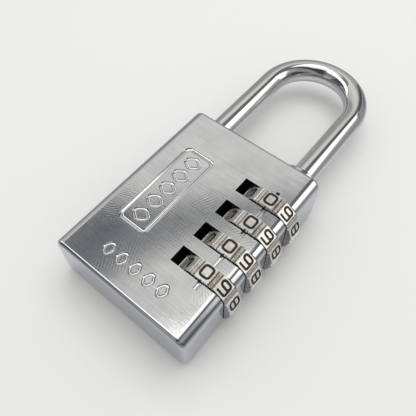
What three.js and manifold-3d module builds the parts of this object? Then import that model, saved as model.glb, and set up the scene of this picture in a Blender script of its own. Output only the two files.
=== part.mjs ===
// A four-wheel combination padlock with a long shackle, lying on its back.
// Millimetres. +X points to the wheels' side, +Y out of the end that holds the
// shackle, +Z out of the front face. The origin is the centre of the back face.

import * as THREE from 'three';
import { mergeVertices } from 'three/addons/utils/BufferGeometryUtils.js';
import Module from 'manifold-3d';

// ---------------------------------------------------------------- dimensions

// body
const BODY_WIDTH = 40;
const BODY_LENGTH = 52.8;
const BODY_DEPTH = 15.5;
const EDGE_RADIUS = 2.8; // the long edges
const END_CHAMFER = 0.55; // around both end faces

// wheels
const WHEEL_COUNT = 4;
const WHEEL_PITCH = 8.04;
const TOP_WHEEL_Y = 13.3;
const AXIS_X = 13.5; // wheels, sleeves and the heel leg share this axis
const AXIS_Z = 8.75;
const DIGITS = 10;
const PAD_FLAT = 8.21; // from the axis to a digit's flat pad
const PAD_WIDTH = 3.6;
const PAD_BEVEL = 0.35; // depth of a pad's bevelled sides
const PAD_SPREAD = PAD_BEVEL / 3; // how much wider a pad is at the foot of each bevel
const GROOVE_RADIUS = 7.75; // floor of the grooves beside the ribs
const RIB_RADIUS = 8.3;
const RIB_WIDTH = 0.9; // a finger rib stands between each pair of pads
const RIB_TAPER = 0.8; // width of a rib's top over its foot
const WHEEL_WIDTH = 4.25;
const WHEEL_BORE = 4.45;
const WHEEL_KEY = 3.95; // the wheel's inner key reaches in to this radius
const KEY_WIDTH = 1.4;
const KEY_GAP = 0.1;
const KEY_ROOT = 0.5; // how far the key runs back into the wheel

// slots that the wheels look out of
const SLOT_WIDTH = 4.69;
const SLOT_LEFT_X = 4.76;

// shackle
const WIRE_RADIUS = 3.3;
const SHACKLE_STRAIGHT = 27.5; // from the body to the start of the arc
const TOE_DEPTH = 6.5; // how far the toe leg reaches into the body
const TOE_FLOOR_GAP = 0.6;
const TOE_SIDE_GAP = 0.2;
const STEM_RADIUS = 2.3; // the heel leg's turned-down part inside the wheels
const STEM_TOP_Y = 19.9;
const STEM_BOTTOM_Y = -16.2;
const LUG_THICKNESS = 1.6;
const LUG_WIDTH = 1.9;

// stack on the stem
const BORE_RADIUS = 4.5;
const SLEEVE_RADIUS = 4.3;
const SLEEVE_LENGTH = 5.2;
const SLEEVE_BORE = 2.5;
const SLEEVE_GROOVE = 3.8; // floor of the outer groove that takes the wheel's key
const KEYWAY_RADIUS = 3.5; // end of the inner keyway that lets a lug through
const KEYWAY_WIDTH = 2.3;
const SPACER_RADIUS = 4.4;
const SPACER_BORE = 3.5;
const WAVE_THICKNESS = 0.3;
const WAVES = 3; // crests around the wave washer
const TOP_WASHER = 0.7; // thickness of the washer above the stack
const STACK_GAP = 0.15; // end play between the rings of the stack

// bush, stop pin, washer and springs
const BUSH_BORE = 3.4;
const BUSH_RADIUS = 4.42;
const BUSH_FLANGE_RADIUS = 5.5;
const BUSH_PROUD = 1.5; // the flange stands on the end face
const BUSH_SEAT_GAP = 0.03;
const BUSH_BOTTOM_Y = 17.95;
const PIN_RADIUS = 0.7;
const PIN_Y = 18.9;
const PIN_LOW_Z = 0.35;
const PIN_HIGH_Z = 12;
const PIN_TO_STEM = 0.1;
const PIN_GAP = 0.05; // around the pin in its hole
const PIN_END_GAP = 0.3;
const SPRING_RADIUS = 1.85; // middle of the wire
const SPRING_WIRE = 0.3;
const SPRING_TURNS = 6;
const SPRING_BORE = 2.4;
const SPRING_FLOOR_Y = -24.8; // floor of the spring's bore
const SPRING_FLOOR_GAP = 0.25;
const SPRING_STEM_GAP = 0.1;
const CLICK_X = 3.75;
const CLICK_THICKNESS = 0.25;
const CLICK_LOW_Z = 6.8;
const CLICK_HIGH_Z = 10.7;
const CLICK_END = 1.1; // how far the strip runs past the first and last slot
const CLICK_GAP = 0.3; // around the strip in its channel
const CLICK_OPENING = 0.5; // how far the channel runs into the slots
const FINGER_REACH = 0.9; // from the strip's back to a finger's tip
const FINGER_WIDTH = 2.4;
const FINGER_ROOT = 3; // height of a finger at the strip, and at its tip
const FINGER_TIP = 0.7;

const CUT = 1; // how far a cutter runs past the face it opens
const ROUND = 48; // sides of a full-size round piece
const STEM_SIDES = 32;
const WIRE_SIDES = 24;
const PIN_SIDES = 20;
const SPRING_STEPS = 20; // lengths of wire in a turn of the spring
const SAME_POINT = 1e-5; // vertices nearer than this are one

const HALF = BODY_LENGTH / 2;
const wheelY = (index) => TOP_WHEEL_Y - index * WHEEL_PITCH;
const lugY = (index) => wheelY(index) - WHEEL_PITCH / 2;

// ----------------------------------------------------------------- materials

const chrome = { color: 0xb9bcc4, roughness: 0.28, metalness: 1 };
const brightChrome = { color: 0xd2d4da, roughness: 0.1, metalness: 1 };
const nickel = { color: 0xb5a68e, roughness: 0.35, metalness: 1 };
const brass = { color: 0xb89a55, roughness: 0.4, metalness: 1 };
const steel = { color: 0x8d8f94, roughness: 0.4, metalness: 1 };
const springSteel = { color: 0x6f7074, roughness: 0.45, metalness: 1 };

// ------------------------------------------------------------- solid helpers

const CENTRE = new THREE.Vector2(0, 0);

const wasm = await Module();
wasm.setup();

function toSolid(geometry) {
  const bare = geometry.index ? geometry.toNonIndexed() : geometry.clone();
  bare.deleteAttribute('normal');
  bare.deleteAttribute('uv');
  const merged = mergeVertices(bare, SAME_POINT);
  return new wasm.Manifold(new wasm.Mesh({
    numProp: 3,
    vertProperties: new Float32Array(merged.attributes.position.array),
    triVerts: new Uint32Array(merged.index.array),
  }));
}

function toMesh(name, solid, look) {
  const data = solid.getMesh();
  const geometry = new THREE.BufferGeometry();
  geometry.setAttribute('position', new THREE.BufferAttribute(data.vertProperties, 3));
  geometry.setIndex(new THREE.BufferAttribute(data.triVerts, 1));
  geometry.computeVertexNormals();
  const mesh = new THREE.Mesh(geometry, new THREE.MeshStandardMaterial(look));
  mesh.name = name;
  return mesh;
}

// A round rod along +Y, centred on the axis, from y0 to y1.
function rod(radius, y0, y1, x = AXIS_X, z = AXIS_Z, sides = ROUND) {
  const geometry = new THREE.CylinderGeometry(radius, radius, y1 - y0, sides);
  return toSolid(geometry.translate(x, (y0 + y1) / 2, z));
}

function box(x0, x1, y0, y1, z0, z1) {
  const geometry = new THREE.BoxGeometry(x1 - x0, y1 - y0, z1 - z0);
  return toSolid(geometry.translate((x0 + x1) / 2, (y0 + y1) / 2, (z0 + z1) / 2));
}

// A turned piece: points are [radius, y] pairs, revolved about the wheel axis.
function turned(points) {
  const outline = points.map(([radius, y]) => new THREE.Vector2(radius, y));
  const geometry = new THREE.LatheGeometry([...outline, outline[0]], ROUND);
  return toSolid(geometry.translate(AXIS_X, 0, AXIS_Z));
}

function ring(outer, inner, y0, y1) {
  return rod(outer, y0, y1).subtract(rod(inner, y0 - CUT, y1 + CUT));
}

// ---------------------------------------------------------------------- body

// A rectangle with round corners in XZ, standing on z = inset.
function roundedOutline(inset) {
  const radius = EDGE_RADIUS - inset;
  const side = BODY_WIDTH / 2 - inset;
  const shape = new THREE.Shape();
  shape.moveTo(side, inset + radius);
  shape.lineTo(side, BODY_DEPTH - inset - radius);
  shape.absarc(side - radius, BODY_DEPTH - inset - radius, radius, 0, Math.PI / 2);
  shape.lineTo(-side + radius, BODY_DEPTH - inset);
  shape.absarc(-side + radius, BODY_DEPTH - inset - radius, radius, Math.PI / 2, Math.PI);
  shape.lineTo(-side, inset + radius);
  shape.absarc(-side + radius, inset + radius, radius, Math.PI, Math.PI * 1.5);
  shape.lineTo(side - radius, inset);
  shape.absarc(side - radius, inset + radius, radius, Math.PI * 1.5, Math.PI * 2);
  return shape;
}

// Extrusion along Y of the outline, with a straight chamfer at both ends.
function blankBody() {
  const geometry = new THREE.ExtrudeGeometry(roundedOutline(END_CHAMFER), {
    depth: BODY_LENGTH - 2 * END_CHAMFER,
    bevelEnabled: true,
    bevelThickness: END_CHAMFER,
    bevelSize: END_CHAMFER,
    bevelSegments: 1,
    curveSegments: 10,
  });
  geometry.rotateX(Math.PI / 2);
  return toSolid(geometry.translate(0, HALF - END_CHAMFER, 0));
}

function makeBody() {
  let solid = blankBody();
  const far = BODY_WIDTH / 2 + CUT;
  for (let i = 0; i < WHEEL_COUNT; i++) {
    const low = wheelY(i) - SLOT_WIDTH / 2;
    const slot = box(SLOT_LEFT_X, far, low, low + SLOT_WIDTH, -CUT, BODY_DEPTH + CUT);
    solid = solid.subtract(slot);
  }
  const stackBottom = lugY(WHEEL_COUNT - 1) - WHEEL_PITCH / 2 + SLEEVE_LENGTH / 2;
  solid = solid.subtract(rod(BORE_RADIUS, stackBottom, HALF + CUT));
  solid = solid.subtract(rod(SPRING_BORE, SPRING_FLOOR_Y, stackBottom + CUT));
  const toeFloor = HALF - TOE_DEPTH - TOE_FLOOR_GAP;
  solid = solid.subtract(rod(WIRE_RADIUS + TOE_SIDE_GAP, toeFloor, HALF + CUT, -AXIS_X));
  solid = solid.subtract(pinHole());
  solid = solid.subtract(clickChannel());
  return solid;
}

// The strip's end past a wheel's slot, below it (side -1) or above it (side 1).
function clickEnd(index, side) {
  return wheelY(index) + side * (SLOT_WIDTH / 2 + CLICK_END);
}

// The channel beside the slots that holds the click spring.
function clickChannel() {
  return box(
    CLICK_X - CLICK_GAP, SLOT_LEFT_X + CLICK_OPENING,
    clickEnd(WHEEL_COUNT - 1, -1) - CLICK_GAP, clickEnd(0, 1) + CLICK_GAP,
    CLICK_LOW_Z - CLICK_GAP, CLICK_HIGH_Z + CLICK_GAP,
  );
}

// -------------------------------------------------------------------- wheels

// Ten flat pads with a rib between each pair, as an outline around the axis.
function wheelOutline() {
  const step = (2 * Math.PI) / DIGITS;
  const shoulder = PAD_FLAT - PAD_BEVEL;
  const foot = PAD_WIDTH / 2 + PAD_SPREAD;
  const points = [];
  for (let i = 0; i < DIGITS; i++) {
    const turn = Math.PI / 2 + i * step; // the first pad faces the front
    const at = (across, out) => new THREE.Vector2(out, across).rotateAround(CENTRE, turn);
    points.push(at(-foot, shoulder), at(-PAD_WIDTH / 2, PAD_FLAT));
    points.push(at(PAD_WIDTH / 2, PAD_FLAT), at(foot, shoulder));
    const rib = (side, radius) => new THREE.Vector2(radius, 0)
      .rotateAround(CENTRE, turn + step / 2 + (side * RIB_WIDTH) / 2 / RIB_RADIUS);
    points.push(rib(-1, GROOVE_RADIUS), rib(-RIB_TAPER, RIB_RADIUS));
    points.push(rib(RIB_TAPER, RIB_RADIUS), rib(1, GROOVE_RADIUS));
  }
  return new THREE.Shape(points);
}

function makeWheel(index) {
  const y = wheelY(index);
  const geometry = new THREE.ExtrudeGeometry(wheelOutline(), {
    depth: WHEEL_WIDTH,
    bevelEnabled: false,
    curveSegments: 4,
  });
  geometry.rotateX(Math.PI / 2);
  geometry.translate(AXIS_X, y + WHEEL_WIDTH / 2, AXIS_Z);
  let solid = toSolid(geometry);
  solid = solid.subtract(rod(WHEEL_BORE, y - WHEEL_WIDTH, y + WHEEL_WIDTH));
  const key = box(
    AXIS_X - KEY_WIDTH / 2, AXIS_X + KEY_WIDTH / 2,
    y - WHEEL_WIDTH / 2, y + WHEEL_WIDTH / 2,
    AXIS_Z + WHEEL_KEY, AXIS_Z + WHEEL_BORE + KEY_ROOT,
  );
  return solid.add(key);
}

// -------------------------------------------------- rings threaded on the stem

// A clutch sleeve: keyed outside to its wheel, slotted inside for the lug.
function makeSleeve(index) {
  const y0 = wheelY(index) - SLEEVE_LENGTH / 2;
  const y1 = y0 + SLEEVE_LENGTH;
  const keyway = box(
    AXIS_X - KEYWAY_RADIUS, AXIS_X,
    y0 - CUT, y1 + CUT,
    AXIS_Z - KEYWAY_WIDTH / 2, AXIS_Z + KEYWAY_WIDTH / 2,
  );
  const groove = box(
    AXIS_X - KEY_WIDTH / 2 - KEY_GAP, AXIS_X + KEY_WIDTH / 2 + KEY_GAP,
    y0 - CUT, y1 + CUT,
    AXIS_Z + SLEEVE_GROOVE, AXIS_Z + SLEEVE_RADIUS + CUT,
  );
  return ring(SLEEVE_RADIUS, SLEEVE_BORE, y0, y1).subtract(keyway).subtract(groove);
}

// The spacer below a wheel: wide enough inside for a lug to wait in it.
function makeSpacer(index) {
  const y0 = wheelY(index + 1) + SLEEVE_LENGTH / 2 + STACK_GAP;
  const y1 = wheelY(index) - SLEEVE_LENGTH / 2 - STACK_GAP;
  return ring(SPACER_RADIUS, SPACER_BORE, y0, y1);
}

function makeTopWasher() {
  const y0 = wheelY(0) + SLEEVE_LENGTH / 2 + STACK_GAP;
  return ring(SPACER_RADIUS, SPACER_BORE, y0, y0 + TOP_WASHER);
}

// A wavy spring washer that keeps the stack pressed down.
function makeWaveWasher() {
  const y0 = wheelY(0) + SLEEVE_LENGTH / 2 + 2 * STACK_GAP + TOP_WASHER;
  const room = BUSH_BOTTOM_Y - STACK_GAP - y0;
  const outer = SPACER_RADIUS - STACK_GAP;
  const inner = SPACER_BORE + STACK_GAP;
  const positions = [];
  const index = [];
  for (let i = 0; i < ROUND; i++) {
    const turn = (i / ROUND) * 2 * Math.PI;
    const low = y0 + (room - WAVE_THICKNESS) * (1 + Math.sin(WAVES * turn)) / 2;
    const high = low + WAVE_THICKNESS;
    for (const [radius, y] of [[inner, low], [outer, low], [outer, high], [inner, high]]) {
      positions.push(AXIS_X + radius * Math.cos(turn), y, AXIS_Z + radius * Math.sin(turn));
    }
    const here = i * 4;
    const next = ((i + 1) % ROUND) * 4;
    for (let side = 0; side < 4; side++) {
      const other = (side + 1) % 4;
      index.push(here + side, here + other, next + other);
      index.push(here + side, next + other, next + side);
    }
  }
  const geometry = new THREE.BufferGeometry();
  geometry.setAttribute('position', new THREE.Float32BufferAttribute(positions, 3));
  geometry.setIndex(index);
  return toSolid(geometry);
}

// ------------------------------------------------------------------- shackle

function wirePath() {
  const path = new THREE.CurvePath();
  const top = HALF + SHACKLE_STRAIGHT;
  const heelStart = new THREE.Vector3(AXIS_X, STEM_TOP_Y, AXIS_Z);
  const toeEnd = new THREE.Vector3(-AXIS_X, HALF - TOE_DEPTH, AXIS_Z);
  path.add(new THREE.LineCurve3(heelStart, new THREE.Vector3(AXIS_X, top, AXIS_Z)));
  path.add(new Arc(AXIS_X, top));
  path.add(new THREE.LineCurve3(new THREE.Vector3(-AXIS_X, top, AXIS_Z), toeEnd));
  return path;
}

// Half circle from the heel leg over to the toe leg.
class Arc extends THREE.Curve {
  constructor(radius, y) {
    super();
    this.radius = radius;
    this.y = y;
  }

  getPoint(t, target = new THREE.Vector3()) {
    const turn = t * Math.PI;
    return target.set(
      this.radius * Math.cos(turn),
      this.y + this.radius * Math.sin(turn),
      AXIS_Z,
    );
  }
}

function makeShackle() {
  const section = new THREE.Shape();
  section.absarc(0, 0, WIRE_RADIUS, 0, 2 * Math.PI);
  const bow = new THREE.ExtrudeGeometry(section, {
    steps: 60,
    curveSegments: WIRE_SIDES / 2,
    bevelEnabled: false,
    extrudePath: wirePath(),
  });
  let solid = toSolid(bow);
  solid = solid.add(rod(STEM_RADIUS, STEM_BOTTOM_Y, STEM_TOP_Y + CUT, AXIS_X, AXIS_Z, STEM_SIDES));
  for (let i = 0; i < WHEEL_COUNT; i++) solid = solid.add(makeLug(lugY(i)));
  return solid;
}

// A lug on the stem, pointing to the inner side, cut from the leg's full round.
function makeLug(y) {
  const y0 = y - LUG_THICKNESS / 2;
  const round = rod(WIRE_RADIUS, y0, y0 + LUG_THICKNESS, AXIS_X, AXIS_Z, STEM_SIDES);
  const slab = box(
    AXIS_X - WIRE_RADIUS - CUT, AXIS_X,
    y - LUG_THICKNESS, y + LUG_THICKNESS,
    AXIS_Z - LUG_WIDTH / 2, AXIS_Z + LUG_WIDTH / 2,
  );
  return round.intersect(slab);
}

// ------------------------------------------------------- bush, pin and springs

function makeBush() {
  const seat = HALF + BUSH_SEAT_GAP;
  const top = HALF + BUSH_PROUD;
  const edge = 0.3; // chamfer of the flange and of the bore's mouth
  const solid = turned([
    [BUSH_BORE, BUSH_BOTTOM_Y],
    [BUSH_RADIUS, BUSH_BOTTOM_Y],
    [BUSH_RADIUS, seat],
    [BUSH_FLANGE_RADIUS, seat],
    [BUSH_FLANGE_RADIUS, top - edge],
    [BUSH_FLANGE_RADIUS - edge, top],
    [BUSH_BORE + edge, top],
    [BUSH_BORE, top - edge],
  ]);
  return solid.subtract(pinHole());
}

// The pin stands along Z beside the stem and stops the top lug.
function pinRod(radius, z0, z1) {
  const geometry = new THREE.CylinderGeometry(radius, radius, z1 - z0, PIN_SIDES);
  geometry.rotateX(Math.PI / 2);
  const x = AXIS_X - STEM_RADIUS - PIN_RADIUS - PIN_TO_STEM;
  return toSolid(geometry.translate(x, PIN_Y, (z0 + z1) / 2));
}

function pinHole() {
  return pinRod(PIN_RADIUS + PIN_GAP, -CUT, PIN_HIGH_Z + PIN_END_GAP);
}

// A helical compression spring along Y, with the wire's ends cut square.
function makeShackleSpring() {
  const bottom = SPRING_FLOOR_Y + SPRING_FLOOR_GAP + SPRING_WIRE;
  const top = STEM_BOTTOM_Y - SPRING_STEM_GAP - SPRING_WIRE;
  class Helix extends THREE.Curve {
    getPoint(t, target = new THREE.Vector3()) {
      const turn = t * SPRING_TURNS * 2 * Math.PI;
      return target.set(
        AXIS_X + SPRING_RADIUS * Math.cos(turn),
        bottom + (top - bottom) * t,
        AXIS_Z + SPRING_RADIUS * Math.sin(turn),
      );
    }
  }
  const section = new THREE.Shape();
  section.absarc(0, 0, SPRING_WIRE, 0, 2 * Math.PI);
  return toSolid(new THREE.ExtrudeGeometry(section, {
    steps: SPRING_TURNS * SPRING_STEPS,
    curveSegments: 4,
    bevelEnabled: false,
    extrudePath: new Helix(),
  }));
}

// A leaf strip with one finger at each wheel.
function makeClickSpring() {
  let solid = box(
    CLICK_X, CLICK_X + CLICK_THICKNESS,
    clickEnd(WHEEL_COUNT - 1, -1), clickEnd(0, 1),
    CLICK_LOW_Z, CLICK_HIGH_Z,
  );
  const back = CLICK_X + CLICK_THICKNESS / 2;
  const tip = CLICK_X + FINGER_REACH;
  const finger = new THREE.Shape([
    new THREE.Vector2(back, -FINGER_ROOT / 2),
    new THREE.Vector2(tip, -FINGER_TIP / 2),
    new THREE.Vector2(tip, FINGER_TIP / 2),
    new THREE.Vector2(back, FINGER_ROOT / 2),
  ]);
  for (let i = 0; i < WHEEL_COUNT; i++) {
    const geometry = new THREE.ExtrudeGeometry(finger, { depth: FINGER_WIDTH, bevelEnabled: false });
    geometry.rotateX(Math.PI / 2);
    solid = solid.add(toSolid(geometry.translate(0, wheelY(i) + FINGER_WIDTH / 2, AXIS_Z)));
  }
  return solid;
}

// ------------------------------------------------------------------ assembly

const group = new THREE.Group();
group.add(toMesh('body', makeBody(), chrome));
group.add(toMesh('shackle', makeShackle(), brightChrome));
group.add(toMesh('heel_bush', makeBush(), brass));
group.add(toMesh('stop_pin', pinRod(PIN_RADIUS, PIN_LOW_Z, PIN_HIGH_Z), steel));
group.add(toMesh('top_washer', makeTopWasher(), steel));
group.add(toMesh('wave_washer', makeWaveWasher(), springSteel));
for (let i = 0; i < WHEEL_COUNT; i++) {
  group.add(toMesh(`wheel_${i + 1}`, makeWheel(i), nickel));
  group.add(toMesh(`sleeve_${i + 1}`, makeSleeve(i), brass));
  group.add(toMesh(`spacer_${i + 1}`, makeSpacer(i), steel));
}
group.add(toMesh('click_spring', makeClickSpring(), springSteel));
group.add(toMesh('shackle_spring', makeShackleSpring(), springSteel));

export default group;
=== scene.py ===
"""A four-wheel combination padlock with a long shackle, lying on its back.

Lengths are in millimetres until a piece is finished, and the floor and the light are
in metres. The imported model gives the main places: the body's box, the wheels' axis
and pitch, and the shackle's height.
"""

import math

import bmesh
import bpy
from mathutils import Matrix, Vector


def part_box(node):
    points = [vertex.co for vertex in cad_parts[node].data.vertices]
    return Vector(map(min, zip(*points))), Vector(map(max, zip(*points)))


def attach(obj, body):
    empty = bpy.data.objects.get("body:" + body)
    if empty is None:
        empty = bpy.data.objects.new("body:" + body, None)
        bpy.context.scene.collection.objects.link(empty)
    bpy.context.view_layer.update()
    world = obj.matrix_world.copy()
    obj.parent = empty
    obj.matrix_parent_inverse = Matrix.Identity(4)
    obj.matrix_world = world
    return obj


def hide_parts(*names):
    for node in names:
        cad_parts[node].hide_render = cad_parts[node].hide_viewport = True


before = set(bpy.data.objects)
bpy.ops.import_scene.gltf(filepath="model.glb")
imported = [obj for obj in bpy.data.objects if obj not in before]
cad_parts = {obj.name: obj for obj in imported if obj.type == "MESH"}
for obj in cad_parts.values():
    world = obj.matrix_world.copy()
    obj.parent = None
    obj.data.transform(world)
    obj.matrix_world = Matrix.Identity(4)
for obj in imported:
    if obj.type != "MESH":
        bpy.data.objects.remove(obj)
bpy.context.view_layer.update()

MM = 0.001


def box_mm(node):
    """A node's lowest and highest corners, in millimetres."""
    low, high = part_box(node)
    return low / MM, high / MM


# ------------------------------------------------------------ sizes and places

# Sizes that a node's box doesn't give are typed in. They are the CAD model's, apart
# from the end edges' rounding, a chamfer of 0.55 there, and RIB_TAPER, 0.8 there.

body_high = box_mm("body")[1]
HALF_WIDTH = body_high.x
HALF_LENGTH = body_high.y
DEPTH = body_high.z
EDGE_RADIUS = 2.8  # of the body's long edges
END_ROUND_Y = 1.0  # how far the end edges' rounding runs along the body
END_ROUND_Z = 1.15  # and down the end face
CUT = 1  # how far a cutter reaches past the face that it opens
ROUND = 96  # sides of a turned piece or a bore
DIGITS = 10

WHEELS = [f"wheel_{i}" for i in range(1, 5)]
wheel_boxes = [box_mm(name) for name in WHEELS]
WHEEL_Y = [(low.y + high.y) / 2 for low, high in wheel_boxes]
AXIS_X = (wheel_boxes[0][0].x + wheel_boxes[0][1].x) / 2
AXIS_Z = (wheel_boxes[0][0].z + wheel_boxes[0][1].z) / 2
PITCH = WHEEL_Y[0] - WHEEL_Y[1]
WHEEL_WIDTH = wheel_boxes[0][1].y - wheel_boxes[0][0].y

SLOT_LEFT = 4.76
SLOT_WIDTH = 4.69
BORE_RADIUS = 4.5
SPRING_BORE = 2.4
SPRING_FLOOR = -24.8
SLEEVE_LENGTH = 5.2
STACK_FLOOR = WHEEL_Y[3] - PITCH + SLEEVE_LENGTH / 2

# the channel beside the slots that holds the click spring
CHANNEL_LEFT = 3.45
CHANNEL_OPENING = 0.5  # how far it opens into the slots
CHANNEL_END = 1.4  # how far it runs past the first and last slot
CHANNEL_LOW = 6.5
CHANNEL_HIGH = 11

PAD_FLAT = 8.21  # from the axis to a digit's flat pad
PAD_WIDTH = 3.6
PAD_BEVEL = 0.35
GROOVE_RADIUS = 7.75
RIB_RADIUS = 8.3
RIB_WIDTH = 0.9
RIB_TAPER = 0.75  # a rib's width at its top, as a part of RIB_WIDTH
WHEEL_BORE = 4.45
WHEEL_KEY = 3.95
KEY_WIDTH = 1.4

shackle_low, shackle_high = box_mm("shackle")
WIRE_RADIUS = 3.3
WIRE_SIDES = 64
ARC_RADIUS = AXIS_X
ARC_Y = shackle_high.y - ARC_RADIUS - WIRE_RADIUS
TOE_DEPTH = 6.5  # how far the toe leg reaches into the body
TOE_Y = HALF_LENGTH - TOE_DEPTH
TOE_GAP = 0.2  # round the toe leg in its hole
TOE_FLOOR_GAP = 0.6
STEM_RADIUS = 2.3
STEM_TOP = 19.9
STEM_BOTTOM = shackle_low.y
LUG_THICKNESS = 1.6
LUG_WIDTH = 1.9

bush_low, bush_high = box_mm("heel_bush")
BUSH_FLANGE = (bush_high.x - bush_low.x) / 2
BUSH_RADIUS = 4.42
BUSH_BORE = 3.4

pin_low, pin_high = box_mm("stop_pin")
PIN_X = (pin_low.x + pin_high.x) / 2
PIN_Y = (pin_low.y + pin_high.y) / 2
PIN_RADIUS = (pin_high.x - pin_low.x) / 2
PIN_GAP = 0.05
PIN_END_GAP = 0.3
PIN_HOLE_SIDES = 36


# -------------------------------------------------------------- node materials


class Nodes:
    """A short way to write a node tree: nodes are made by type, with sockets by name."""

    def __init__(self, tree):
        self.tree = tree
        tree.nodes.clear()

    def add(self, kind, settings=None, **inputs):
        node = self.tree.nodes.new(kind)
        for key, value in (settings or {}).items():
            setattr(node, key, value)
        for key, value in inputs.items():
            self.set(node, key.replace("_", " "), value)
        return node

    def set(self, node, name, value):
        socket = node.inputs[int(name)] if name.isdigit() else node.inputs[name]
        if isinstance(value, bpy.types.NodeSocket):
            self.tree.links.new(value, socket)
        else:
            socket.default_value = value

    def math(self, operation, a, b=0.0):
        node = self.add("ShaderNodeMath", {"operation": operation})
        self.set(node, "0", a)
        self.set(node, "1", b)
        return node.outputs[0]

    def smooth(self, value, low, high, out_low=0.0, out_high=1.0):
        node = self.add("ShaderNodeMapRange", {"interpolation_type": "SMOOTHSTEP"})
        self.set(node, "Value", value)
        self.set(node, "From Min", low)
        self.set(node, "From Max", high)
        self.set(node, "To Min", out_low)
        self.set(node, "To Max", out_high)
        return node.outputs[0]

    def mix(self, factor, a, b):
        node = self.add("ShaderNodeMix", {"data_type": "RGBA"})
        self.set(node, "0", factor)
        self.set(node, "6", a)
        self.set(node, "7", b)
        return node.outputs[2]

    def place(self, scale=(1, 1, 1), move=(0, 0, 0)):
        """Object coordinates, in millimetres times scale, then moved."""
        where = self.add("ShaderNodeTexCoord").outputs["Object"]
        node = self.add("ShaderNodeMapping")
        self.set(node, "Vector", where)
        self.set(node, "Location", move)
        self.set(node, "Scale", [s / MM for s in scale])
        return node.outputs[0]

    def noise(self, vector, detail, roughness=0.5):
        node = self.add("ShaderNodeTexNoise")
        self.set(node, "Vector", vector)
        self.set(node, "Scale", 1.0)
        self.set(node, "Detail", detail)
        self.set(node, "Roughness", roughness)
        return node.outputs["Fac"]

    def bump(self, height, strength, distance_mm, normal=None):
        node = self.add("ShaderNodeBump")
        self.set(node, "Height", height)
        self.set(node, "Strength", strength)
        self.set(node, "Distance", distance_mm * MM)
        if normal is not None:
            self.set(node, "Normal", normal)
        return node.outputs[0]


def new_material(name):
    material = bpy.data.materials.new(name)
    material.use_nodes = True
    nodes = Nodes(material.node_tree)
    shader = nodes.add("ShaderNodeBsdfPrincipled")
    output = nodes.add("ShaderNodeOutputMaterial")
    nodes.tree.links.new(shader.outputs[0], output.inputs[0])
    return material, nodes, shader


def rgb(red, green, blue):
    return (red, green, blue, 1.0)


def product(nodes, *factors):
    result = factors[0]
    for factor in factors[1:]:
        result = nodes.math("MULTIPLY", result, factor)
    return result


def total(nodes, first, second):
    return nodes.math("ADD", first, second)


def weighted(nodes, first, first_weight, second, second_weight):
    first_part = product(nodes, first, first_weight)
    return total(nodes, first_part, product(nodes, second, second_weight))


def swirl(nodes, centre, period):
    """Polishing marks in arcs about a centre, in millimetres."""
    return nodes.add(
        "ShaderNodeTexWave",
        {"wave_type": "RINGS", "rings_direction": "Z"},
        Vector=nodes.place(move=centre),
        Scale=math.pi / 10 / period,  # at scale 1 the rings repeat every pi / 10
        Distortion=4.0,
        Detail=2.0,
        Detail_Scale=1.2,
    ).outputs["Fac"]


def brushed_chrome():
    """Satin plate: fine lines along X, patches of polishing arcs and cloudy wear."""
    material, nodes, shader = new_material("body_satin_chrome")
    lines = nodes.noise(nodes.place((0.05, 3.5, 3.5)), detail=4.0, roughness=0.7)
    fine = nodes.noise(nodes.place((0.12, 12.0, 12.0)), detail=2.0)
    clouds = nodes.noise(nodes.place((0.16, 0.16, 0.16)), detail=3.0)
    patches = nodes.noise(nodes.place((0.11, 0.13, 0.13)), detail=1.0)
    tone = weighted(nodes, lines, 0.5, clouds, 0.5)
    dark, pale = rgb(0.565, 0.57, 0.58), rgb(0.735, 0.735, 0.715)
    nodes.set(shader, "Base Color", nodes.mix(nodes.smooth(tone, 0.3, 0.7), dark, pale))
    nodes.set(shader, "Metallic", 1.0)
    nodes.set(shader, "Roughness", nodes.smooth(clouds, 0.3, 0.7, 0.03, 0.06))
    arcs = product(nodes, swirl(nodes, (4, 34, 0), 0.62), nodes.smooth(patches, 0.46, 0.6))
    others = product(nodes, swirl(nodes, (-24, 6, 0), 0.7), nodes.smooth(patches, 0.5, 0.38))
    first = nodes.bump(lines, 0.35, 0.02)
    second = nodes.bump(fine, 0.25, 0.008, first)
    third = nodes.bump(total(nodes, arcs, others), 0.09, 0.03, second)
    nodes.set(shader, "Normal", third)
    return material


def polished_chrome(name, colour, roughness):
    """Bright plate with a slight ripple and a few dull spots."""
    material, nodes, shader = new_material(name)
    ripple = nodes.noise(nodes.place((0.5, 0.5, 0.5)), detail=2.0)
    specks = nodes.noise(nodes.place((5.0, 5.0, 5.0)), detail=4.0, roughness=0.7)
    dark, pale = rgb(*[0.9 * channel for channel in colour]), rgb(*colour)
    nodes.set(shader, "Base Color", nodes.mix(nodes.smooth(specks, 0.35, 0.65), dark, pale))
    nodes.set(shader, "Metallic", 1.0)
    nodes.set(shader, "Roughness", nodes.smooth(specks, 0.45, 0.75, roughness, roughness + 0.08))
    nodes.set(shader, "Normal", nodes.bump(ripple, 0.12, 0.05))
    return material


def wheel_nickel():
    """Warm nickel with fine turning lines round the wheel's axis."""
    material, nodes, shader = new_material("wheel_nickel")
    turning = nodes.noise(nodes.place((0.3, 16.0, 0.3)), detail=3.0)
    blotches = nodes.noise(nodes.place((0.8, 0.8, 0.8)), detail=4.0, roughness=0.6)
    dark, pale = rgb(0.60, 0.565, 0.51), rgb(0.79, 0.755, 0.70)
    nodes.set(shader, "Base Color", nodes.mix(nodes.smooth(blotches, 0.3, 0.7), dark, pale))
    nodes.set(shader, "Metallic", 0.85)
    nodes.set(shader, "Roughness", nodes.smooth(blotches, 0.3, 0.7, 0.18, 0.3))
    nodes.set(shader, "Normal", nodes.bump(turning, 0.3, 0.01))
    return material


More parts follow.
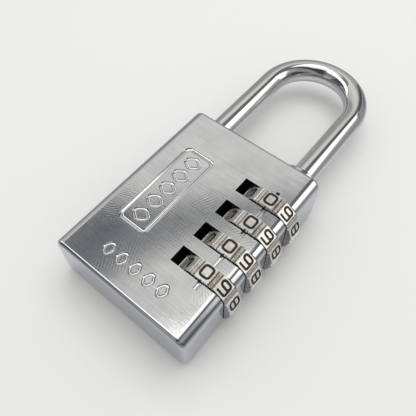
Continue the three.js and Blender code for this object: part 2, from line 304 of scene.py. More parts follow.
def groove_patina():
    """Darkened nickel in the narrow grooves of the wheels."""
    material, nodes, shader = new_material("wheel_groove")
    mottle = nodes.noise(nodes.place((2.0, 2.0, 2.0)), detail=4.0)
    dark, pale = rgb(0.03, 0.02, 0.014), rgb(0.15, 0.11, 0.075)
    nodes.set(shader, "Base Color", nodes.mix(mottle, dark, pale))
    nodes.set(shader, "Metallic", 0.7)
    nodes.set(shader, "Roughness", nodes.smooth(mottle, 0.2, 0.8, 0.4, 0.6))
    return material


def shaded_wheel_side():
    """The wheels' end faces: painted shade, greyer than their rims because they sit in shadow in
    the slots, with random mottling.
    """
    material, nodes, shader = new_material("shaded_wheel_side")
    side_mottle = nodes.noise(nodes.place((1.2, 1.2, 1.2)), detail=4.0)
    dark, pale = rgb(0.34, 0.34, 0.345), rgb(0.58, 0.575, 0.57)
    nodes.set(shader, "Base Color", nodes.mix(side_mottle, dark, pale))
    nodes.set(shader, "Metallic", 1.0)
    nodes.set(shader, "Roughness", nodes.smooth(side_mottle, 0.3, 0.7, 0.2, 0.32))
    nodes.set(shader, "Normal", nodes.bump(side_mottle, 0.2, 0.02))
    return material


def digit_paint():
    """Black enamel laid in the engraved digits."""
    material, nodes, shader = new_material("digit_paint")
    grain = nodes.noise(nodes.place((8.0, 8.0, 8.0)), detail=3.0)
    dark, pale = rgb(0.006, 0.005, 0.005), rgb(0.02, 0.016, 0.015)
    nodes.set(shader, "Base Color", nodes.mix(grain, dark, pale))
    nodes.set(shader, "Roughness", nodes.smooth(grain, 0.3, 0.7, 0.35, 0.55))
    nodes.set(shader, "Normal", nodes.bump(grain, 0.3, 0.01))
    return material


def shaded_slot_metal():
    """Bare cast metal inside the slots and holes, near black: painted shade for hollows where
    little light reaches.
    """
    material, nodes, shader = new_material("slot_inside_painted_shade")
    mottle = nodes.noise(nodes.place((1.5, 1.5, 1.5)), detail=4.0)
    dark, pale = rgb(0.002, 0.003, 0.008), rgb(0.007, 0.008, 0.016)
    nodes.set(shader, "Base Color", nodes.mix(mottle, dark, pale))
    nodes.set(shader, "Metallic", 0.6)
    nodes.set(shader, "Roughness", nodes.smooth(mottle, 0.2, 0.8, 0.45, 0.65))
    nodes.set(shader, "Normal", nodes.bump(mottle, 0.3, 0.03))
    return material


def turned_metal(name, dark, pale, roughness):
    """Turned or drawn metal for the pieces inside."""
    material, nodes, shader = new_material(name)
    lines = nodes.noise(nodes.place((0.6, 9.0, 0.6)), detail=3.0)
    stains = nodes.noise(nodes.place((0.9, 0.9, 0.9)), detail=4.0)
    colour = nodes.mix(nodes.smooth(stains, 0.3, 0.7), rgb(*dark), rgb(*pale))
    nodes.set(shader, "Base Color", colour)
    nodes.set(shader, "Metallic", 1.0)
    nodes.set(shader, "Roughness", nodes.smooth(stains, 0.3, 0.7, roughness, roughness + 0.15))
    nodes.set(shader, "Normal", nodes.bump(lines, 0.3, 0.02))
    return material


SATIN = brushed_chrome()
CAST = polished_chrome("body_polished_chrome", (0.66, 0.66, 0.67), 0.08)
BRIGHT = polished_chrome("shackle_chrome", (0.76, 0.755, 0.73), 0.05)
BUSH = polished_chrome("bush_chrome", (0.62, 0.62, 0.64), 0.1)
NICKEL = wheel_nickel()
PATINA = groove_patina()
# painted shade: the wheels' end faces, greyer than their rims
SHADED_SIDE = shaded_wheel_side()
PAINT = digit_paint()
# near-black painted shade for the insides of the slots, bores and holes
SHADED_INSIDE = shaded_slot_metal()
BRASS = turned_metal("sleeve_brass", (0.45, 0.33, 0.14), (0.70, 0.56, 0.30), 0.28)
STEEL = turned_metal("turned_steel", (0.36, 0.36, 0.38), (0.58, 0.58, 0.60), 0.3)
SPRING = turned_metal("spring_steel", (0.20, 0.20, 0.22), (0.42, 0.42, 0.45), 0.32)


# ---------------------------------------------------------------- mesh helpers


def new_object(name, bm, materials):
    """A mesh object from a bmesh, in millimetres until it is finished."""
    bmesh.ops.recalc_face_normals(bm, faces=bm.faces)
    mesh = bpy.data.meshes.new(name)
    bm.to_mesh(mesh)
    bm.free()
    for material in materials:
        mesh.materials.append(material)
    obj = bpy.data.objects.new(name, mesh)
    bpy.context.scene.collection.objects.link(obj)
    return obj


def loft(rings, closed=False):
    """Rings of the same count of points, joined in order; open lofts get end caps."""
    bm = bmesh.new()
    made = [[bm.verts.new(point) for point in ring] for ring in rings]
    count = len(made[0])
    pairs = list(zip(made, made[1:]))
    if closed:
        pairs.append((made[-1], made[0]))
    for first, second in pairs:
        for i in range(count):
            j = (i + 1) % count
            bm.faces.new((first[i], first[j], second[j], second[i]))
    if not closed:
        bm.faces.new(made[0][::-1])
        bm.faces.new(made[-1])
    return bm


def arc(x, y, radius, start, end, steps):
    """Points on an arc, angles in degrees."""
    turns = [math.radians(start + (end - start) * i / steps) for i in range(steps + 1)]
    return [(x + radius * math.cos(t), y + radius * math.sin(t)) for t in turns]


def rectangle(x0, y0, x1, y1):
    return [(x0, y0), (x1, y0), (x1, y1), (x0, y1)]


def box_cutter(name, low, high, material):
    corners = rectangle(low[0], low[2], high[0], high[2])
    rings = [[(x, y, z) for x, z in corners] for y in (low[1], high[1])]
    return new_object(name, loft(rings), [material])


def turned(profile):
    """A solid turned about the wheels' axis; profile holds (radius, y) pairs."""
    rings = []
    for i in range(ROUND):
        turn = 2 * math.pi * i / ROUND
        across, up = math.cos(turn), math.sin(turn)
        rings.append([(AXIS_X + r * across, y, AXIS_Z + r * up) for r, y in profile])
    bm = loft(rings, closed=True)
    bmesh.ops.remove_doubles(bm, verts=bm.verts, dist=1e-6)
    return bm


def circle(x, y, radius, sides):
    return arc(x, y, radius, 0, 360 - 360 / sides, sides - 1)


def rod(radius, y0, y1, centre_x=AXIS_X):
    """A round rod along Y, at the height of the wheels' axis."""
    outline = circle(centre_x, AXIS_Z, radius, ROUND)
    return loft([[(x, y, z) for x, z in outline] for y in (y0, y1)])


def rounded(points, radius, closed):
    """The polyline with its corners turned into arcs of the radius, where there is room."""
    steps = 6
    longest = 0.48  # of a leg, that a corner may take up
    result = []
    count = len(points)
    for i, point in enumerate(points):
        here = Vector(point)
        if not closed and i in (0, count - 1):
            result.append(here)
            continue
        to_last = Vector(points[i - 1]) - here
        to_next = Vector(points[(i + 1) % count]) - here
        back, ahead = to_last.normalized(), to_next.normalized()
        half = back.angle(ahead) / 2
        room = longest * min(to_last.length, to_next.length)
        reach = min(radius / math.tan(half), room)
        size = reach * math.tan(half)
        centre = here + (back + ahead).normalized() * (size / math.sin(half))
        start = here + back * reach - centre
        sweep = start.angle_signed(here + ahead * reach - centre)
        for k in range(steps + 1):
            result.append(centre + start @ Matrix.Rotation(sweep * k / steps, 2))
    return result


def stroke(path, section, closed=False):
    """A solid along a flat path. section holds (sideways, up) pairs round the stroke."""
    rings = []
    count = len(path)
    for i, here in enumerate(path):
        before = path[i - 1] if (closed or i > 0) else here
        after = path[(i + 1) % count] if (closed or i < count - 1) else here
        first = (here - before).normalized() if before != here else (after - here).normalized()
        last = (after - here).normalized() if after != here else first
        along = (first + last).normalized()
        spread = 1 / max(0.5, along.dot(first))
        side = Vector((-along.y, along.x)) * spread
        rings.append([(*(here + side * across), up) for across, up in section])
    return loft(rings, closed=closed)


def merge(target, source):
    """Moves the faces of one bmesh into another."""
    mesh = bpy.data.meshes.new("merge")
    source.to_mesh(mesh)
    source.free()
    target.from_mesh(mesh)
    bpy.data.meshes.remove(mesh)


def apply_modifiers(obj):
    graph = bpy.context.evaluated_depsgraph_get()
    mesh = bpy.data.meshes.new_from_object(obj.evaluated_get(graph), depsgraph=graph)
    old = obj.data
    obj.modifiers.clear()
    obj.data = mesh
    mesh.name = obj.name
    bpy.data.meshes.remove(old)


def combine(obj, cutter, operation="DIFFERENCE"):
    """A boolean; faces from the cutter keep the cutter's materials."""
    modifier = obj.modifiers.new("cut", "BOOLEAN")
    modifier.operation = operation
    modifier.solver = "EXACT"
    modifier.material_mode = "TRANSFER"
    modifier.object = cutter
    apply_modifiers(obj)
    bpy.data.objects.remove(cutter)


def soften(obj, width, angle=30):
    """Small bevels on the sharp edges, as plating leaves them."""
    modifier = obj.modifiers.new("bevel", "BEVEL")
    modifier.width = width
    modifier.segments = 2
    modifier.limit_method = "ANGLE"
    modifier.angle_limit = math.radians(angle)
    apply_modifiers(obj)


def shade(obj, angle=25):
    """Smooth shading that keeps large faces flat."""
    obj.data.shade_smooth()
    obj.data.set_sharp_from_angle(angle=math.radians(angle))
    modifier = obj.modifiers.new("flat", "WEIGHTED_NORMAL")
    modifier.mode = "FACE_AREA"
    modifier.weight = 90
    modifier.keep_sharp = True
    apply_modifiers(obj)


def finish_piece(obj, body, slot, *nodes):
    """Brings the mesh to metres and puts the piece on its body."""
    obj.data.transform(Matrix.Scale(MM, 4))
    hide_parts(*nodes)
    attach(obj, body)


# ------------------------------------------------------------------------ body


def body_section(inset):
    """The body's outline in XZ, set in by a little."""
    steps = 18
    radius = EDGE_RADIUS - inset
    right = HALF_WIDTH - EDGE_RADIUS
    low, high = EDGE_RADIUS, DEPTH - EDGE_RADIUS
    return (
        arc(right, low, radius, -90, 0, steps)
        + arc(right, high, radius, 0, 90, steps)
        + arc(-right, high, radius, 90, 180, steps)
        + arc(-right, low, radius, 180, 270, steps)
    )


def body_blank():
    """The block, with its ends rounded over, a little longer down the end face."""
    steps = 7
    turns = [math.radians(90 * i / steps) for i in range(steps + 1)]
    start = []
    for turn in turns[::-1]:
        y = -HALF_LENGTH + END_ROUND_Y * (1 - math.sin(turn))
        start.append((y, END_ROUND_Z * (1 - math.cos(turn))))
    end = [(-y, inset) for y, inset in start[::-1]]
    rings = [[(x, y, z) for x, z in body_section(inset)] for y, inset in start + end]
    return new_object("body_shell", loft(rings), [CAST, SATIN, SHADED_INSIDE])


def cut_slots(obj):
    for y in WHEEL_Y:
        low = (SLOT_LEFT, y - SLOT_WIDTH / 2, -CUT)
        high = (HALF_WIDTH + CUT, y + SLOT_WIDTH / 2, DEPTH + CUT)
        combine(obj, box_cutter("slot", low, high, SHADED_INSIDE))


def pin_hole():
    """The hole that takes the stop pin, from the back face."""
    outline = circle(PIN_X, PIN_Y, PIN_RADIUS + PIN_GAP, PIN_HOLE_SIDES)
    rings = [[(x, y, z) for x, y in outline] for z in (-CUT, pin_high.z + PIN_END_GAP)]
    return new_object("pin_hole", loft(rings), [SHADED_INSIDE])


def click_channel():
    past = SLOT_WIDTH / 2 + CHANNEL_END
    low = (CHANNEL_LEFT, WHEEL_Y[-1] - past, CHANNEL_LOW)
    high = (SLOT_LEFT + CHANNEL_OPENING, WHEEL_Y[0] + past, CHANNEL_HIGH)
    return box_cutter("channel", low, high, SHADED_INSIDE)


def cut_holes(obj):
    """The stack's bore, the spring's bore below it, the toe leg's hole and the rest."""
    top = HALF_LENGTH + CUT
    holes = [
        rod(BORE_RADIUS, STACK_FLOOR, top),
        rod(SPRING_BORE, SPRING_FLOOR, STACK_FLOOR + CUT),
        rod(WIRE_RADIUS + TOE_GAP, TOE_Y - TOE_FLOOR_GAP, top, -AXIS_X),
    ]
    for hole in holes:
        combine(obj, new_object("hole", hole, [SHADED_INSIDE]))
    combine(obj, pin_hole())
    combine(obj, click_channel())


def round_groove(width, depth):
    """The section of a groove left by a ball cutter, with its mouth just over the face."""
    steps = 6
    over = 0.1
    points = [(-width / 2, over)]
    for i in range(steps + 1):
        turn = math.pi * i / steps
        points.append((-width / 2 * math.cos(turn), -depth * math.sin(turn)))
    return points + [(width / 2, over)]


def lozenge(x, y, half_width, half_height):
    return [(x - half_width, y), (x, y - half_height), (x + half_width, y), (x, y + half_height)]


def framed_lozenges():
    """A frame and the five lozenges in it, as (points, corner radius, width, depth)."""
    left, right, low, high = -12.7, -4.6, -11.9, 14.0
    margin = 0.9
    count = 5
    half_width = 2.6
    step = (high - low - 2 * margin) / count
    half_height = step * 0.38
    middle = (left + right) / 2
    grooves = [(rectangle(left, low, right, high), 1.2, 1.25, 0.4)]
    for i in range(count):
        y = low + margin + step * (i + 0.5)
        grooves.append((lozenge(middle, y, half_width, half_height), 0.8, 1.0, 0.36))
    return grooves


def small_lozenges():
    """The row of five near the end, in the same form."""
    first_x, step, y = -8.0, 4.1, -19.8
    count = 5
    half_width, half_height = 1.25, 2.2
    grooves = []
    for i in range(count):
        points = lozenge(first_x + i * step, y, half_width, half_height)
        grooves.append((points, 0.7, 0.85, 0.34))
    return grooves


def engrave(obj):
    cutter = bmesh.new()
    for points, radius, width, depth in framed_lozenges() + small_lozenges():
        path = rounded(points, radius, closed=True)
        merge(cutter, stroke(path, round_groove(width, depth), closed=True))
    cutter.transform(Matrix.Translation((0, 0, DEPTH)))
    combine(obj, new_object("engraving", cutter, [CAST]))


def index_marks(obj):
    """Grooves in line with the digit that counts, below each slot."""
    half_slot = SLOT_WIDTH / 2
    overlap = 0.5
    last_length = 1.9
    width, depth = 1.2, 0.35
    spans = []
    for upper, lower in zip(WHEEL_Y, WHEEL_Y[1:]):
        spans.append((lower + half_slot - overlap, upper - half_slot + overlap))
    last_edge = WHEEL_Y[-1] - half_slot
    spans.append((last_edge - last_length, last_edge + overlap))
    cutter = bmesh.new()
    for low, high in spans:
        path = [Vector((AXIS_X, low)), Vector((AXIS_X, high))]
        merge(cutter, stroke(path, round_groove(width, depth)))
    cutter.transform(Matrix.Translation((0, 0, DEPTH)))
    combine(obj, new_object("mark", cutter, [CAST]))


def first_mark(obj):
    """A small square notch above the first slot."""
    size, depth, gap = 0.9, 0.3, 0.5
    start = WHEEL_Y[0] + SLOT_WIDTH / 2 + gap
    low = (AXIS_X - size / 2, start, DEPTH - depth)
    high = (AXIS_X + size / 2, start + size, DEPTH + CUT)
    combine(obj, box_cutter("first_mark", low, high, PAINT))


def paint_body(obj):
    """The two large flat faces are satin, and every other face keeps its material."""
    satin = obj.data.materials.find(SATIN.name)
    nearly = 0.01
    for face in obj.data.polygons:
        flat = abs(face.normal.z) > 0.999
        z = face.center.z
        if flat and (z > DEPTH - nearly or z < nearly):
            face.material_index = satin


def make_body():
    obj = body_blank()
    cut_slots(obj)
    cut_holes(obj)
    engrave(obj)
    index_marks(obj)
    first_mark(obj)
    soften(obj, 0.14)
    paint_body(obj)
    shade(obj)
    finish_piece(obj, "case", "body_chrome", "body")


# ---------------------------------------------------------------------- wheels


def turn_point(across, out, turn):
    """A point across and out from the wheel's axis, turned from the top of the wheel."""
    return (
        across * math.cos(turn) + out * math.sin(turn),
        -across * math.sin(turn) + out * math.cos(turn),
    )


def wheel_outline():
    """Pads with a rib between each pair, in the wheel's plane; the first is on top."""
    step = math.radians(360 / DIGITS)
    rib_half = RIB_WIDTH / 2 / RIB_RADIUS
    shoulder = PAD_FLAT - PAD_BEVEL
    foot = PAD_WIDTH / 2 + PAD_BEVEL / 3
    half_pad = PAD_WIDTH / 2
    pad = [(-foot, shoulder), (-half_pad, PAD_FLAT), (half_pad, PAD_FLAT), (foot, shoulder)]
    rib = [(GROOVE_RADIUS, -1), (RIB_RADIUS, -RIB_TAPER)]
    rib += [(RIB_RADIUS, RIB_TAPER), (GROOVE_RADIUS, 1)]
    points = []
    for i in range(DIGITS):
        turn = i * step
        points += [turn_point(across, out, turn) for across, out in pad]
        middle = turn + step / 2
        points += [turn_point(0, radius, middle + side * rib_half) for radius, side in rib]
    return points


def digit_strokes(digit):
    """Centre lines of a digit in a rounded square style: a list of (points, closed).

    No stroke meets itself, so each is a clean cutter.
    """
    width, height = 2.42, 2.8
    w, h = width / 2, height / 2
    box = rectangle(-w, -h, w, h)
    upper, lower = rectangle(-w, 0, w, h), rectangle(-w, -h, w, 0)
    shapes = {
        0: [(box, True)],
        1: [([(-0.9 * w, 0.35 * h), (0.1 * w, h), (0.1 * w, -h)], False)],
        2: [([(-w, 0.42 * h), (-w, h), (w, h), (w, 0), (-w, 0), (-w, -h), (w, -h)], False)],
        3: [([(-w, h), (w, h), (w, -h), (-w, -h)], False), ([(-0.4 * w, 0), (w, 0)], False)],
        4: [
            ([(0.3 * w, h), (-w, -0.35 * h), (w, -0.35 * h)], False),
            ([(0.3 * w, h), (0.3 * w, -h)], False),
        ],
        5: [([(w, h), (-w, h), (-w, 0.1 * h), (w, 0.1 * h), (w, -h), (-w, -h)], False)],
        6: [(lower, True), ([(w, h), (-w, h), (-w, -0.2 * h)], False)],
        7: [([(-w, h), (w, h), (-0.1 * w, -h)], False)],
        8: [(box, True), ([(-w, 0), (w, 0)], False)],
        9: [(upper, True), ([(-w, -h), (w, -h), (w, 0.2 * h)], False)],
    }
    return shapes[digit]


def pad_place(pad):
    """Moves a digit drawn at the origin to its place on a pad."""
    above_middle = 0.1
    to_axis = Matrix.Translation((AXIS_X, 0, AXIS_Z))
    turn = Matrix.Rotation(math.radians(360 / DIGITS * pad), 4, "Y")
    return to_axis @ turn @ Matrix.Translation((0, above_middle, PAD_FLAT))


def digit_cutters(digit, pad):
    """The digit's strokes as cutters sunk in its pad.

    A second stroke is a little narrower and deeper, so that no two cut faces coincide.
    """
    thickness, narrower = 0.64, 0.015
    depth, deeper = 0.12, 0.012
    box_radius, bend_radius = 0.7, 0.35
    place = pad_place(pad)
    cutters = []
    for order, (points, closed) in enumerate(digit_strokes(digit)):
        half = thickness / 2 - narrower * order
        deep = depth + deeper * order
        section = [(-half, deep), (-half, -deep), (half, -deep), (half, deep)]
        radius = box_radius if len(points) > 3 else bend_radius
        path = rounded(points, radius, closed)
        solid = stroke(path, section, closed)
        solid.transform(place)
        cutters.append(solid)
    return cutters


def along_axis(outline, half_length):
    """A prism on the wheels' axis, as long to each side of y = 0."""
    ends = (-half_length, half_length)
    return loft([[(AXIS_X + x, y, AXIS_Z + z) for x, z in outline] for y in ends])


def wheel_bore(half_length):
    """The bore, with the key that the clutch sleeve turns."""
    steps = 72
    half_key = math.degrees(math.asin(KEY_WIDTH / 2 / WHEEL_BORE))
    outline = arc(0, 0, WHEEL_BORE, 90 + half_key, 450 - half_key, steps)
    outline += [(KEY_WIDTH / 2, WHEEL_KEY), (-KEY_WIDTH / 2, WHEEL_KEY)]
    return new_object("bore", along_axis(outline, half_length), [PATINA])


def paint_wheel(obj):
    """Faces below the pads, between them, get the dark patina, and the end faces get painted shade,
    greyer than the rims.
    """
    dark = obj.data.materials.find(PATINA.name)
    side = obj.data.materials.find(SHADED_SIDE.name)
    lowest, highest = WHEEL_BORE + 0.2, GROOVE_RADIUS + 0.12
    for face in obj.data.polygons:
        centre = face.center
        radius = math.hypot(centre.x - AXIS_X, centre.z - AXIS_Z)
        if abs(face.normal.y) > 0.9:
            face.material_index = side
        elif lowest < radius < highest:
            face.material_index = dark


def make_wheel_mesh():
    """One wheel with engraved, painted digits, around y = 0."""
    half = WHEEL_WIDTH / 2
    materials = [NICKEL, PATINA, PAINT, SHADED_SIDE]
    obj = new_object("wheel", along_axis(wheel_outline(), half), materials)
    combine(obj, wheel_bore(half + CUT))
    soften(obj, 0.09, angle=18)
    paint_wheel(obj)
    for pad in range(DIGITS):
        for cutter in digit_cutters((DIGITS - pad) % DIGITS, pad):
            combine(obj, new_object("digit", cutter, [PAINT]))
    shade(obj, 22)
    return obj


def make_wheels():
    """Four copies of one wheel, each with a mesh of its own."""
    pattern = make_wheel_mesh()
    for name, y in zip(WHEELS, WHEEL_Y):
        mesh = pattern.data.copy()
        mesh.transform(Matrix.Translation((0, y, 0)))
        obj = bpy.data.objects.new(f"{name}_dial", mesh)
        bpy.context.scene.collection.objects.link(obj)
        finish_piece(obj, name, "wheel_nickel", name)
    bpy.data.objects.remove(pattern)


# --------------------------------------------------------------------- shackle


def ring_of(centre, side, radius):
    """A circle round centre, in the plane of side and Z."""
    points = []
    for i in range(WIRE_SIDES):
        turn = 2 * math.pi * i / WIRE_SIDES
        point = centre + side * (radius * math.cos(turn)) + Vector((0, 0, radius * math.sin(turn)))
        points.append(tuple(point))
    return points


def bow_rings():
    """Rings along the bar, from the heel leg's lower end round to the toe's."""
    heel_edge, toe_edge = 0.3, 0.6
    steps = 72
    z = AXIS_Z
    across = Vector((1, 0, 0))
    rings = []
    for radius, y in ((WIRE_RADIUS - heel_edge, STEM_TOP), (WIRE_RADIUS, STEM_TOP + heel_edge)):
        rings.append(ring_of(Vector((AXIS_X, y, z)), across, radius))
    for i in range(steps + 1):
        turn = math.pi * i / steps
        side = Vector((math.cos(turn), math.sin(turn), 0))
        centre = Vector((0, ARC_Y, z)) + side * ARC_RADIUS
        rings.append(ring_of(centre, side, WIRE_RADIUS))
    for radius, y in ((WIRE_RADIUS, TOE_Y + toe_edge), (WIRE_RADIUS - toe_edge, TOE_Y)):
        rings.append(ring_of(Vector((-AXIS_X, y, z)), -across, radius))
    return rings


def make_stem():
    """The thin rod below the heel leg, run a little way into it."""
    edge = 0.4
    top = STEM_TOP + CUT
    profile = [
        (0, STEM_BOTTOM),
        (STEM_RADIUS - edge, STEM_BOTTOM),
        (STEM_RADIUS, STEM_BOTTOM + edge),
        (STEM_RADIUS, top),
        (0, top),
    ]
    return new_object("stem", turned(profile), [STEEL])


def make_shackle():
    obj = new_object("shackle_bow", loft(bow_rings()), [BRIGHT, STEEL])
    combine(obj, make_stem(), "UNION")
    for y in WHEEL_Y:
        combine(obj, make_lug(y - PITCH / 2), "UNION")
    shade(obj, 30)
    finish_piece(obj, "shackle", "shackle_chrome", "shackle")


def make_lug(y):
    """A block from the stem to the full round of the bar, on the inner side."""
    steps = 8
    reach = math.degrees(math.asin(LUG_WIDTH / 2 / WIRE_RADIUS))
    root = AXIS_X - 1  # inside the stem
    outline = arc(AXIS_X, AXIS_Z, WIRE_RADIUS, 180 - reach, 180 + reach, steps)
    outline += [(root, AXIS_Z - LUG_WIDTH / 2), (root, AXIS_Z + LUG_WIDTH / 2)]
    half = LUG_THICKNESS / 2
    rings = [[(x, yy, z) for x, z in outline] for yy in (y - half, y + half)]
    return new_object("lug", loft(rings), [STEEL])


def make_bush():
    """The collar, with its flange just clear of the body's end face."""
    clear = 0.03
    edge, bore_edge = 0.35, 0.25
    seat = HALF_LENGTH + clear
    bottom, top = bush_low.y, bush_high.y
    profile = [(BUSH_BORE, bottom), (BUSH_RADIUS, bottom), (BUSH_RADIUS, seat), (BUSH_FLANGE, seat)]
    profile += [(BUSH_FLANGE - edge + x, top - edge + y) for x, y in arc(0, 0, edge, 0, 90, 5)]
    profile += [(BUSH_BORE + bore_edge, top), (BUSH_BORE, top - bore_edge)]
    obj = new_object("heel_collar", turned(profile), [BUSH])
    combine(obj, pin_hole())
    shade(obj, 30)
    finish_piece(obj, "case", "bush_chrome", "heel_bush")


# ------------------------------------------------------------ pieces kept as is


def paint_inside():
    looks = {"top_washer": STEEL, "wave_washer": SPRING, "stop_pin": STEEL}
    looks.update({"click_spring": SPRING, "shackle_spring": SPRING})
    for i in range(1, 5):
        looks[f"sleeve_{i}"] = BRASS
        looks[f"spacer_{i}"] = STEEL
    for name, material in looks.items():
        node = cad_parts[name]
        for slot in node.material_slots:
            slot.material = material


# ---------------------------------------------------------- camera and lighting


def make_camera():
    """The photograph's viewpoint, fitted to the lock's edges in it."""
    data = bpy.data.cameras.new("camera")
    data.sensor_width = 36
    data.lens = 41.5
    data.shift_x = 0.031
    data.shift_y = -0.043
    data.clip_start, data.clip_end = 0.005, 20
    camera = bpy.data.objects.new("camera", data)
    bpy.context.scene.collection.objects.link(camera)
    place = Vector((41.4, -44.2, 113.5)) * MM
    aim = Vector((-6.35, 8.6, 8.0)) * MM
    roll = math.radians(-2.74)
    facing = (aim - place).to_track_quat("-Z", "Y").to_matrix().to_4x4()
    camera.matrix_world = Matrix.Translation(place) @ facing @ Matrix.Rotation(roll, 4, "Z")
    bpy.context.scene.camera = camera


def room_ceiling(nodes, slope_x, slope_y):
    """It fades towards the wall on the left, and ends at a dark gap on the right."""
    fade = nodes.smooth(slope_x, -1.8, -0.5, 0.62, 0.82)
    gap = nodes.smooth(slope_x, -0.28, 0.06, 1.0, 0.22)
    near_side = nodes.smooth(slope_y, -0.15, 0.2, 0.35, 1.0)
    far_side = nodes.smooth(slope_y, 0.78, 1.3, 1.0, 0.6)
    return product(nodes, fade, gap, far_side, near_side)


def room_walls(nodes, slope_x, slope_y, x, y):
    """Paler walls: low on the near side, behind the gap, and low in the far corner."""
    pale = 0.26
    near_wall = nodes.smooth(slope_y, -1.4, -3.0, 0.0, 0.22)
    behind = [nodes.smooth(slope_x, 0.45, 0.65), nodes.smooth(slope_x, 2.0, 1.3)]
    panel = product(nodes, pale, *behind)
    corner_wall = product(nodes, pale, nodes.smooth(y, 0.4, 0.56), nodes.smooth(x, 0.2, 0.5))
    return nodes.math("MAXIMUM", near_wall, nodes.math("MAXIMUM", panel, corner_wall))


def room_band(nodes, slope_x, slope_y):
    """A darker band over the lock, from low on the left to the back on the right."""
    darkest = 0.37
    across = weighted(nodes, slope_x, -0.65, slope_y, 0.76)
    beyond = nodes.smooth(across, 0.6, 0.73)
    near = total(nodes, slope_x, nodes.math("MULTIPLY", slope_y, -0.286))
    before = product(nodes, nodes.smooth(near, -0.55, -0.41), nodes.smooth(across, 0.585, 0.5))
    band = total(nodes, nodes.math("MAXIMUM", beyond, before), darkest)
    return nodes.math("MINIMUM", band, 1.0)


def room_patch(nodes, slope_x, slope_y):
    """A small darker oval in the ceiling."""
    stretch = 2.3
    off_x = nodes.math("MULTIPLY", nodes.math("ADD", slope_x, 0.56), stretch)
    off_y = nodes.math("ADD", slope_y, -0.27)
    squares = total(nodes, nodes.math("POWER", off_x, 2.0), nodes.math("POWER", off_y, 2.0))
    return nodes.smooth(nodes.math("SQRT", squares), 0.07, 0.17, 0.66, 1.0)


def room_window(nodes, slope_x, slope_y, y, z):
    """A window to the right and behind, with a sill that rises towards the back."""
    brightness = 1.5
    edge = total(nodes, slope_x, nodes.math("MULTIPLY", slope_y, 0.5))
    behind = nodes.math("MAXIMUM", nodes.math("SUBTRACT", y, 0.56), 0.0)
    above_sill = nodes.math("SUBTRACT", z, nodes.math("MULTIPLY", behind, 2.2))
    sill = nodes.smooth(above_sill, 0.1, 0.42)
    sides = [nodes.smooth(edge, 0.74, 0.98), nodes.smooth(y, 0.2, 0.42)]
    return product(nodes, brightness, *sides, sill)


def room_lamps(nodes, slope_x, slope_y):
    """A lamp close to the zenith, and a narrow tube beside it on the near side."""
    lamp_brightness, tube_brightness = 1.3, 1.9
    cut_off = nodes.math("MAXIMUM", nodes.math("SUBTRACT", 0.23, slope_y), 0.0)
    left_edge = total(nodes, slope_x, nodes.math("MULTIPLY", cut_off, 0.9))
    sides = [nodes.smooth(left_edge, -0.228, -0.214), nodes.smooth(slope_x, 0.3, 0.14)]
    ends = [nodes.smooth(slope_y, 0.46, 0.4), nodes.smooth(slope_y, -0.4, -0.1)]
    lamp = product(nodes, lamp_brightness, *sides, *ends)
    ends = [nodes.smooth(slope_y, 0.0, -0.1), nodes.smooth(slope_y, -0.62, -0.46)]
    tube = product(nodes, tube_brightness, *ends, nodes.smooth(slope_x, -0.1, -0.25))
    return nodes.math("MAXIMUM", lamp, tube)


def reflected_room(nodes, x, y, z):
    """What the plating mirrors: a made-up pale room, moved about to suit the photograph.

    Places in the room are slopes, x / z and y / z, so a flat face that looks up
    mirrors a flat plan of the ceiling. In each nodes.smooth, the first two numbers
    are where an edge starts and ends, and the last two, 0 and 1 if they are left out,
    are its brightness there.
    """
    lowest = 0.03
    up = nodes.math("MAXIMUM", z, lowest)
    slope_x = nodes.math("DIVIDE", x, up)
    slope_y = nodes.math("DIVIDE", y, up)
    ceiling = room_ceiling(nodes, slope_x, slope_y)
    room = total(nodes, ceiling, room_walls(nodes, slope_x, slope_y, x, y))
    band = room_band(nodes, slope_x, slope_y)
    room = product(nodes, room, band, room_patch(nodes, slope_x, slope_y))
    window = room_window(nodes, slope_x, slope_y, y, z)
    lights = total(nodes, window, room_lamps(nodes, slope_x, slope_y))
    return total(nodes, room, lights)


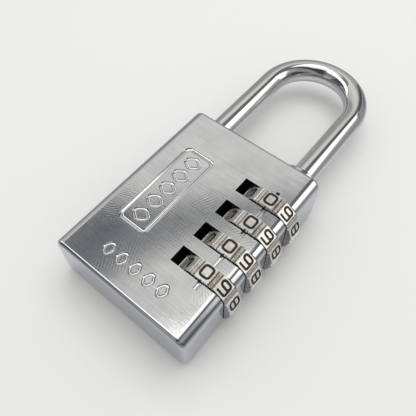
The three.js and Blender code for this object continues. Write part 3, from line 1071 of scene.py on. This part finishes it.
def make_world():
    """Even, pale light on matt things; only mirror reflections see the room."""
    world = bpy.data.worlds.new("studio")
    bpy.context.scene.world = world
    world.use_nodes = True
    nodes = Nodes(world.node_tree)
    towards = nodes.add("ShaderNodeTexCoord").outputs["Generated"]
    x, y, z = nodes.add("ShaderNodeSeparateXYZ", Vector=towards).outputs
    room = reflected_room(nodes, x, y, z)
    even = nodes.smooth(z, 0.0, 1.0, 0.64, 0.8)
    glossy = nodes.add("ShaderNodeLightPath").outputs["Is Glossy Ray"]
    mixer = nodes.add("ShaderNodeMix", {"data_type": "FLOAT"})
    nodes.set(mixer, "0", glossy)
    nodes.set(mixer, "2", even)
    nodes.set(mixer, "3", room)
    value = mixer.outputs[0]
    cool, warm = rgb(0.93, 0.965, 1.05), rgb(1.0, 1.0, 0.98)
    tint = nodes.mix(nodes.smooth(value, 0.15, 0.6), cool, warm)
    background = nodes.add("ShaderNodeBackground", Color=tint, Strength=value)
    output = nodes.add("ShaderNodeOutputWorld")
    nodes.tree.links.new(background.outputs[0], output.inputs[0])


def floor_material():
    """Plain and pale as seen directly, but with painted shade in the plating's mirror reflections.

    In those it darkens at flat angles, a painted reflection of a dark horizon, and on the near
    side, a painted shadow, between two places along Y in millimetres.
    """
    near_start, near_end = -32.0, -70.0
    material, nodes, shader = new_material("floor")
    facing = nodes.add("ShaderNodeLayerWeight", Blend=0.5).outputs["Facing"]
    glossy = nodes.add("ShaderNodeLightPath").outputs["Is Glossy Ray"]
    below, far_off = rgb(0.72, 0.73, 0.78), rgb(0.31, 0.315, 0.325)
    dimmed = nodes.mix(nodes.smooth(facing, 0.35, 0.9), below, far_off)
    y = nodes.add("ShaderNodeSeparateXYZ", Vector=nodes.place()).outputs["Y"]
    # a painted shadow on the near side, seen only in reflections
    near_side = nodes.smooth(y, near_end, near_start, 1.0, 0.0)
    dimmed = nodes.mix(near_side, dimmed, rgb(0.3, 0.3, 0.31))
    nodes.set(shader, "Base Color", nodes.mix(glossy, rgb(0.83, 0.83, 0.825), dimmed))
    nodes.set(shader, "Roughness", 0.9)
    nodes.set(shader, "Specular IOR Level", 0.0)
    return material


def make_floor():
    bm = bmesh.new()
    size = 8.0  # metres
    corners = [(-size, -size, 0), (size, -size, 0), (size, size, 0), (-size, size, 0)]
    bm.faces.new([bm.verts.new(point) for point in corners])
    floor = new_object("floor", bm, [floor_material()])


def make_lights():
    """A wide soft box over the far side of the table."""
    data = bpy.data.lights.new("overhead", "AREA")
    data.shape = "RECTANGLE"
    data.size, data.size_y = 0.45, 0.35
    data.energy = 0.9
    light = bpy.data.objects.new("overhead", data)
    bpy.context.scene.collection.objects.link(light)
    light.location = (-0.03, 0.14, 0.5)
    light.rotation_euler = (Vector((0, 0, 0)) - light.location).to_track_quat("-Z", "Y").to_euler()
    light.visible_camera = False
    light.visible_glossy = False


make_camera()
make_world()
make_floor()
make_lights()
make_body()
make_wheels()
make_shackle()
make_bush()
paint_inside()

view = bpy.context.scene.view_settings
view.view_transform = "Standard"
view.look = "None"
